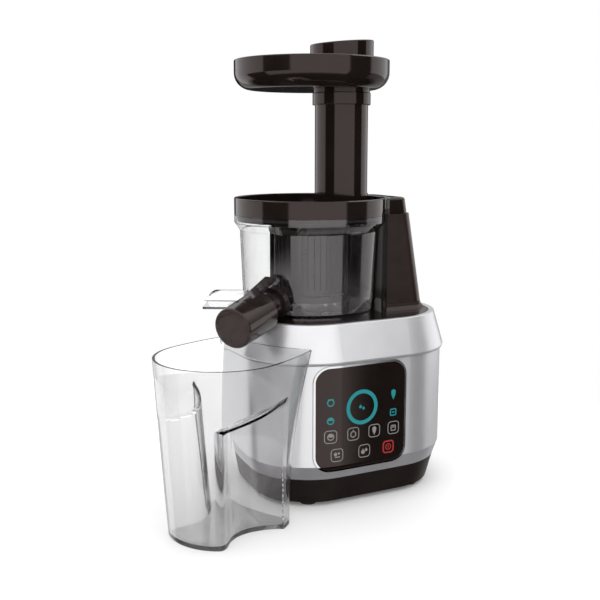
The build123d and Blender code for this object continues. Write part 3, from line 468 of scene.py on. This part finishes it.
def jug_plan(round_r, hollow, across, along, tip_r):
    """Outline of the jug at one of its levels, before its grips: x across, y away from the base."""
    sag = hollow - along
    hollow_r = (across * across + sag * sag) / (2 * sag)
    hollow_middle = (0.0, hollow - hollow_r)
    inward, drop = round_r - across, jug_centre - along
    flank_r = (inward * inward + drop * drop) / (2 * inward)
    flank_middle = (round_r - flank_r, jug_centre)
    near, far = hollow_r + tip_r, flank_r - tip_r
    apart = Vector((flank_middle[0] - hollow_middle[0], flank_middle[1] - hollow_middle[1]))
    along_line = (near * near - far * far + apart.length_squared) / (2 * apart.length)
    off_line = math.sqrt(max(near * near - along_line * along_line, 0.0))
    step = apart.normalized()
    options = [Vector(hollow_middle) + step * along_line + Vector((-step.y, step.x)) * off_line * sign
               for sign in (-1, 1)]
    tip = min(options, key=lambda spot: (spot - Vector((across, along))).length)
    from_hollow = math.atan2(tip.y - hollow_middle[1], tip.x - hollow_middle[0])
    from_flank = math.atan2(tip.y - flank_middle[1], tip.x - flank_middle[0])
    half = arc(hollow_middle, hollow_r, math.pi / 2, from_hollow, hollow_points)
    half += arc(tip, tip_r, from_hollow - math.pi, from_flank, tip_points)
    half += arc(flank_middle, flank_r, from_flank, 0.0, flank_points)
    half += arc((0.0, jug_centre), round_r, 0.0, math.pi / 2, round_points)
    far_end = (0.0, jug_centre + round_r)
    return half + [far_end] + [(-x, y) for x, y in reversed(half[1:])]


jug_plans = [jug_plan(*sizes)
             for sizes in zip(jug_round, jug_hollow, jug_tip_across, jug_tip_along, jug_tip_r)]


def gripped(x, y, z, thick):
    """Draws a point of the wall into the finger grip on its side, and thick behind the grip's face."""
    side = abs(x)
    if side <= plain_middle:
        return x
    grip_y = grip_along + (z - grip_top) * grip_lean
    reach = grip_r + grip_flare * (grip_top - z) / grip_top + thick
    off = abs(y - grip_y)
    if off < reach:
        scoop = grip_out - math.sqrt(reach * reach - off * off)
    else:
        scoop = grip_out + grip_climb * (off - reach)
    roof_at_mouth = grip_top + thick - (y - grip_along) * grip_fall
    roof = grip_mouth + (z - roof_at_mouth) / grip_slant
    floor_of_grip = -soft_low(-scoop, -roof, roof_soft)
    toward_base = min(max((grip_y - y) / grip_turn, 0.0), 1.0)
    blend = grip_soft * (1 + grip_softer * toward_base * toward_base)
    return math.copysign(soft_low(side, floor_of_grip, blend), x)


def drawn_in(plan, inset):
    """The same outline, moved inward."""
    moved = []
    for i, (x, y) in enumerate(plan):
        before, after = plan[i - 1], plan[(i + 1) % len(plan)]
        run = Vector((after[0] - before[0], after[1] - before[1])).normalized()
        moved.append((x - run.y * inset, y + run.x * inset))
    return moved


def jug_row(z, inset, thick):
    """One ring of the jug: its outer face, or with thick its inner face."""
    plan = [tuple(between(values, z) for values in zip(*spots)) for spots in zip(*jug_plans)]
    plan = [(gripped(x, y, z, thick), y) for x, y in drawn_in(plan, thick)]
    return drawn_in(plan, inset)


def jug_rings():
    """Height, inset and depth of each ring: up the outer face from the foot, then down the inner face."""
    rim = jug_levels[2]
    turns = [math.radians(90 * i / foot_rows) for i in range(foot_rows)]
    shares = [i / rows_up for i in range(rows_up + 1)]
    foot = [(jug_foot_r * (1 - math.cos(turn)), jug_foot_r * (1 - math.sin(turn)), 0.0) for turn in turns]
    outer = [(jug_foot_r + (rim - jug_foot_r) * share, 0.0, 0.0) for share in shares]
    inner = [(rim + (jug_floor - rim) * share, 0.0, jug_wall) for share in shares]
    return foot + outer + inner


def jug_origin():
    """Where the jug's own plan starts, found from the rim of its solid."""
    solid = frame["nodes"]["jug"].data.vertices
    rim = [corner.co for corner in solid if corner.co.z > jug_levels[2] - 0.1 * mm]
    reach = max(corner.dot(jug_away) for corner in rim)
    sides = [corner.dot(jug_across) for corner in rim]
    return jug_away * (reach - jug_centre - jug_round[2]) + jug_across * (min(sides) + max(sides)) / 2


def clear_jug():
    """A grid wrapped round both faces of the wall, closed at the seam and at its two floors."""
    rings = jug_rings()
    rows = [jug_row(*ring) for ring in rings]
    columns = len(rows[0])
    origin = jug_origin()
    piece = start("clear_jug", bpy.ops.mesh.primitive_grid_add, x_subdivisions=columns,
                  y_subdivisions=len(rows) - 1, size=1)
    done(piece)
    for corner in piece.data.vertices:
        column = round((corner.co.x + 0.5) * columns) % columns
        row = round((corner.co.y + 0.5) * (len(rows) - 1))
        x, y = rows[row][column]
        corner.co = origin + jug_across * x + jug_away * y + Vector((0, 0, rings[row][0]))
    bpy.ops.object.mode_set(mode="EDIT")
    bpy.ops.mesh.select_all(action="SELECT")
    bpy.ops.mesh.remove_doubles(threshold=same_spot)
    bpy.ops.mesh.select_mode(type="VERT")
    for bottom in (0.0, jug_floor):
        bpy.ops.mesh.select_all(action="DESELECT")
        bpy.ops.object.mode_set(mode="OBJECT")
        for corner in piece.data.vertices:
            corner.select = abs(corner.co.z - bottom) < same_spot
        bpy.ops.object.mode_set(mode="EDIT")
        bpy.ops.mesh.edge_face_add()
    bpy.ops.mesh.select_all(action="SELECT")
    bpy.ops.mesh.normals_make_consistent(inside=False)
    bpy.ops.object.mode_set(mode="OBJECT")
    only(piece)
    bpy.ops.object.shade_smooth_by_angle(angle=math.radians(40))
    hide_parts("jug")
    return fit(piece, "jug_body", finishes["clear_plastic"])


clear_jug()


# Signs printed on the touch panel: plain shapes only

sign_thickness = 0.15 * mm
ring_out = 17.0 * mm
ring_band = 3.7 * mm
ring_up = 8.7 * mm
button_half = 6.4 * mm
button_corner = 3.6 * mm
button_line = 0.75 * mm
upper_row = -16.5 * mm
upper_buttons = (-33.2 * mm, -9.5 * mm, 13.7 * mm, 35.2 * mm)
lower_row = -35.0 * mm
lower_buttons = (-26.7 * mm, 2.8 * mm)
stop_button = 29.8 * mm
status_left = -33.4 * mm
status_right = 34.8 * mm
status_high = 16.6 * mm
status_low = -1.0 * mm


def sign_disc(x, z, r, points=32):
    """Filled round sign, drawn flat and later laid on the panel."""
    piece = start("sign", bpy.ops.mesh.primitive_circle_add, vertices=points, radius=r, fill_type="NGON",
                  location=(x, z, 0))
    return done(piece)


def sign_hoop(x, z, r, band, points=64):
    piece = start("sign", bpy.ops.mesh.primitive_circle_add, vertices=points, radius=r, fill_type="NGON",
                  location=(x, z, 0))
    bpy.ops.mesh.inset(thickness=band, depth=0)
    bpy.ops.mesh.delete(type="FACE")
    return done(piece)


def sign_bar(x, z, wide, high, corner):
    """Filled bar with rounded corners."""
    piece = start("sign", bpy.ops.mesh.primitive_plane_add, size=1, location=(x, z, 0))
    bpy.ops.transform.resize(value=(wide, high, 1), center_override=(x, z, 0))
    bpy.ops.mesh.bevel(affect="VERTICES", offset=corner, segments=6, offset_type="OFFSET")
    return done(piece)


def sign_frame(x, z, half, corner, line):
    """Outline of a button with rounded corners."""
    piece = start("sign", bpy.ops.mesh.primitive_plane_add, size=2 * half, location=(x, z, 0))
    bpy.ops.mesh.bevel(affect="VERTICES", offset=corner, segments=8, offset_type="OFFSET")
    bpy.ops.mesh.select_all(action="SELECT")
    bpy.ops.mesh.inset(thickness=line, depth=0)
    bpy.ops.mesh.delete(type="FACE")
    return done(piece)


def sign_drop(x, z, r):
    """A drop: a disc whose top is drawn up to a point."""
    piece = sign_disc(x, z, r, 24)
    only(piece)
    bpy.ops.object.mode_set(mode="EDIT")
    bpy.ops.mesh.select_all(action="DESELECT")
    bpy.ops.object.mode_set(mode="OBJECT")
    for corner in piece.data.vertices:
        corner.select = corner.co.y > z + 0.98 * r
    bpy.ops.object.mode_set(mode="EDIT")
    bpy.ops.mesh.select_mode(type="VERT")
    bpy.ops.transform.translate(value=(0, 0.9 * r, 0))
    bpy.ops.object.mode_set(mode="OBJECT")
    return piece


def sign_wedge(x, z, wide, high):
    """A cone seen from the side, point down."""
    piece = start("sign", bpy.ops.mesh.primitive_circle_add, vertices=3, radius=1, fill_type="NGON",
                  location=(x, z, 0))
    bpy.ops.transform.rotate(value=math.pi, orient_axis="Z", center_override=(x, z, 0))
    bpy.ops.transform.resize(value=(wide / 2, high / 2, 1), center_override=(x, z, 0))
    return done(piece)


def laid_on_panel(name, pieces, finish):
    """Turns flat signs upright, lays them on the glass and gives them their thickness."""
    whole = joined(name, pieces)
    only(whole)
    bpy.ops.object.mode_set(mode="EDIT")
    bpy.ops.mesh.select_all(action="SELECT")
    bpy.ops.mesh.quads_convert_to_tris()
    bpy.ops.mesh.subdivide(number_cuts=1)
    bpy.ops.object.mode_set(mode="OBJECT")
    upright = Matrix.Rotation(math.radians(90), 4, "X")
    off_glass = Vector((panel_middle.x, panel_front - 5 * mm, panel_middle.z))
    whole.data.transform(Matrix.Translation(off_glass) @ upright)
    finish_with(whole, "SHRINKWRAP", target=frame["nodes"]["panel_glass"], wrap_method="PROJECT",
                use_project_y=True, use_negative_direction=True, use_positive_direction=True,
                offset=0.03 * mm)
    finish_with(whole, "SOLIDIFY", thickness=sign_thickness, offset=1)
    return fit(whole, "base", finish)


def panel_signs():
    teal = sign_ink("teal_ink", (0.0, 0.16, 0.175), (0.0, 0.20, 0.215), 0.3)
    pale = sign_ink("pale_ink", (0.2, 0.19, 0.19), (0.25, 0.24, 0.24), 0.06)
    red = sign_ink("red_ink", (0.26, 0.008, 0.008), (0.33, 0.012, 0.012), 0.1)
    status = [
        sign_hoop(0, ring_up, ring_out, ring_band, 128),
        sign_drop(-1.8 * mm, ring_up + 0.4 * mm, 1.5 * mm),
        sign_drop(1.5 * mm, ring_up - 1.4 * mm, 1.3 * mm),
        sign_hoop(status_left, status_high, 3.6 * mm, 1.1 * mm, 32),
        sign_bar(status_left, status_high + 3 * mm, 5.6 * mm, 1.3 * mm, 0.6 * mm),
        sign_hoop(status_left, status_low, 3.6 * mm, 1.1 * mm, 32),
        sign_bar(status_left, status_low + 1.6 * mm, 6.0 * mm, 2.6 * mm, 1.2 * mm),
        sign_wedge(status_right, status_high - 1.4 * mm, 6.0 * mm, 7.4 * mm),
        sign_disc(status_right, status_high + 2.4 * mm, 2.6 * mm, 24),
        sign_frame(status_right, status_low, 3.6 * mm, 1.6 * mm, 1.1 * mm),
        sign_bar(status_right, status_low, 3.2 * mm, 1.1 * mm, 0.5 * mm),
    ]
    buttons = [sign_frame(x, upper_row, button_half, button_corner, button_line) for x in upper_buttons]
    buttons += [sign_frame(x, lower_row, button_half, button_corner, button_line) for x in lower_buttons]
    bowl_x, fruit_x, cone_x, jar_x = upper_buttons
    shake_x, rinse_x = lower_buttons
    buttons += [
        sign_hoop(bowl_x, upper_row, 3.4 * mm, 0.9 * mm, 32),
        sign_bar(bowl_x, upper_row + 1.0 * mm, 4.6 * mm, 2.6 * mm, 1.2 * mm),
        sign_hoop(fruit_x, upper_row - 0.4 * mm, 3.2 * mm, 0.9 * mm, 32),
        sign_bar(fruit_x, upper_row + 3.0 * mm, 1.0 * mm, 2.2 * mm, 0.4 * mm),
        sign_wedge(cone_x, upper_row - 1.4 * mm, 4.8 * mm, 5.6 * mm),
        sign_disc(cone_x, upper_row + 1.8 * mm, 2.3 * mm, 24),
        sign_frame(jar_x, upper_row - 0.3 * mm, 2.9 * mm, 1.2 * mm, 0.9 * mm),
        sign_bar(jar_x, upper_row + 0.4 * mm, 2.8 * mm, 1.0 * mm, 0.4 * mm),
        sign_disc(shake_x - 1.6 * mm, lower_row + 1.0 * mm, 1.7 * mm, 20),
        sign_disc(shake_x + 1.8 * mm, lower_row + 1.6 * mm, 1.1 * mm, 20),
        sign_bar(shake_x + 0.4 * mm, lower_row - 1.8 * mm, 5.4 * mm, 1.0 * mm, 0.4 * mm),
        sign_drop(rinse_x - 1.4 * mm, lower_row - 0.9 * mm, 2.1 * mm),
        sign_drop(rinse_x + 2.1 * mm, lower_row + 0.8 * mm, 1.4 * mm),
    ]
    stop = [
        sign_frame(stop_button, lower_row, button_half, button_corner, 1.5 * mm),
        sign_hoop(stop_button, lower_row, 3.3 * mm, 1.0 * mm, 32),
        sign_bar(stop_button, lower_row, 1.1 * mm, 3.2 * mm, 0.5 * mm),
    ]
    laid_on_panel("panel_status_signs", status, teal)
    laid_on_panel("panel_button_signs", buttons, pale)
    laid_on_panel("panel_stop_sign", stop, red)


panel_signs()


# Studio: pale floor, soft light between dark upright screens, camera of the photograph

floor_radius = 0.5
floor_glow = 0.08
light_level = 1.2
overhead_level = 1.3
through_level = 1.5
screen_level = 0.015
camera_bearing = math.radians(242.4)
canopy_from, canopy_full = 0.15, 0.6
unlit_below, lit_above = -0.6, -0.45

# Headings from the direction to the camera, turning to the right, and how much light comes from there:
# on pieces seen at eye level, on lower and higher faces, and for what is seen through bowl and jug
seen_on_walls = [(-180, 0), (-155, 0), (-148, 1), (-76, 1), (-73, 0), (-32.5, 0), (-29.5, 1),
                 (55.8, 1), (58.2, 0), (94, 0), (98, 1), (145, 1), (150, 0.2), (180, 0)]
seen_on_base = [(-180, 0.3), (-155, 0.3), (-148, 1), (-114, 1), (-110, 0), (-74, 0), (-70, 0.9),
                (-20, 1), (55.8, 1), (58.2, 0), (98, 0), (102, 0.3), (180, 0.3)]
seen_through_bowl = [(-180, 1), (-158, 1), (-155, 0), (-32.5, 0), (-29.5, 0.7), (55.8, 0.7),
                     (58.2, 0), (177, 0), (177.3, 1), (180, 1)]
seen_through_jug = [(-180, 1), (-158, 1), (-155, 0.5), (-82, 0.4), (-76, 0.55), (-20, 0.7),
                    (55.8, 0.7), (58.2, 0.4), (177, 0.5), (177.3, 1), (180, 1)]
# Rise of a direction, and how far it counts as eye level
eye_level = [(-0.22, 0), (-0.19, 1), (0.11, 1), (0.13, 0)]


def studio_floor():
    floor = start("floor", bpy.ops.mesh.primitive_circle_add, vertices=128, radius=floor_radius,
                  fill_type="NGON")
    done(floor)
    floor.visible_glossy = False
    finish, surface = shader("floor_paper")
    colour_by(finish, noise_on_object(finish, 0.4), (0.95, 0.95, 0.95), (0.97, 0.97, 0.97))
    surface.inputs["Roughness"].default_value = 0.9
    surface.inputs["Specular IOR Level"].default_value = 0.0
    surface.inputs["Emission Color"].default_value = (1, 1, 1, 1)
    surface.inputs["Emission Strength"].default_value = floor_glow
    floor.data.materials.append(finish)


def grey_ramp(tree, share, stops):
    """Ramp of greys with a stop at each share."""
    nodes, links = tree
    ramp = nodes.new("ShaderNodeValToRGB")
    links.new(share, ramp.inputs["Fac"])
    elements = ramp.color_ramp.elements
    while len(elements) < len(stops):
        elements.new(0.5)
    for element, (place, level) in zip(elements, stops):
        element.position = place
        element.color = (level, level, level, 1)
    return ramp.outputs["Color"]


def screens(tree, share, headings, brightest):
    """Light round the horizon, broken by dark screens."""
    stops = [((degrees + 180) / 360, screen_level + (brightest - screen_level) * lit)
             for degrees, lit in headings]
    return grey_ramp(tree, share, stops)


def either(tree, share, first, second):
    """The first colour where share is 0, the second where it is 1."""
    nodes, links = tree
    mix = nodes.new("ShaderNodeMix")
    mix.data_type = "RGBA"
    for socket, colour in (("Factor", share), ("A", first), ("B", second)):
        if isinstance(colour, float):
            mix.inputs[socket].default_value = (colour, colour, colour, 1)
        else:
            links.new(colour, mix.inputs[socket])
    return mix.outputs["Result"]


def studio_world():
    """Soft white light from above and all round, broken by screens that draw stripes on glossy pieces."""
    world = bpy.data.worlds.new("studio")
    bpy.context.scene.world = world
    world.use_nodes = True
    tree = nodes, links = world.node_tree.nodes, world.node_tree.links
    place = nodes.new("ShaderNodeTexCoord")
    turned = nodes.new("ShaderNodeMapping")
    turned.inputs["Rotation"].default_value = (0, 0, -camera_bearing)
    links.new(place.outputs["Generated"], turned.inputs["Vector"])
    axes = axes_of(tree, turned.outputs["Vector"])
    heading = nodes.new("ShaderNodeMath")
    heading.operation = "ARCTAN2"
    links.new(axes["Y"], heading.inputs[0])
    links.new(axes["X"], heading.inputs[1])
    share = carried_over(tree, heading.outputs["Value"], -math.pi, math.pi)
    rise = carried_over(tree, axes["Z"], -1, 1)
    level = grey_ramp(tree, rise, [((height + 1) / 2, lit) for height, lit in eye_level])
    sides = either(tree, level, screens(tree, share, seen_on_base, light_level),
                   screens(tree, share, seen_on_walls, light_level))
    beyond = either(tree, level, screens(tree, share, seen_through_jug, through_level),
                    screens(tree, share, seen_through_bowl, through_level))
    canopy = either(tree, carried_over(tree, axes["Z"], canopy_from, canopy_full), sides, overhead_level)
    path = nodes.new("ShaderNodeLightPath")
    around = nodes.new("ShaderNodeBackground")
    links.new(either(tree, path.outputs["Is Transmission Ray"], canopy, beyond), around.inputs["Color"])
    links.new(carried_over(tree, axes["Z"], unlit_below, lit_above), around.inputs["Strength"])
    backdrop = nodes.new("ShaderNodeBackground")
    backdrop.inputs["Color"].default_value = (1, 1, 1, 1)
    shown = nodes.new("ShaderNodeMixShader")
    links.new(path.outputs["Is Camera Ray"], shown.inputs["Fac"])
    links.new(around.outputs["Background"], shown.inputs[1])
    links.new(backdrop.outputs["Background"], shown.inputs[2])
    links.new(shown.outputs["Shader"], nodes["World Output"].inputs["Surface"])


def studio_camera():
    camera = bpy.data.cameras.new("camera")
    camera.lens = eye_lens
    camera.sensor_width = eye_sensor
    holder = bpy.data.objects.new("camera", camera)
    bpy.context.scene.collection.objects.link(holder)
    holder.location = eye
    holder.rotation_euler = (math.radians(90) - eye_pitch, 0, -eye_heading)
    bpy.context.scene.camera = holder
    bpy.context.scene.view_settings.view_transform = "Standard"


studio_floor()
studio_world()
studio_camera()
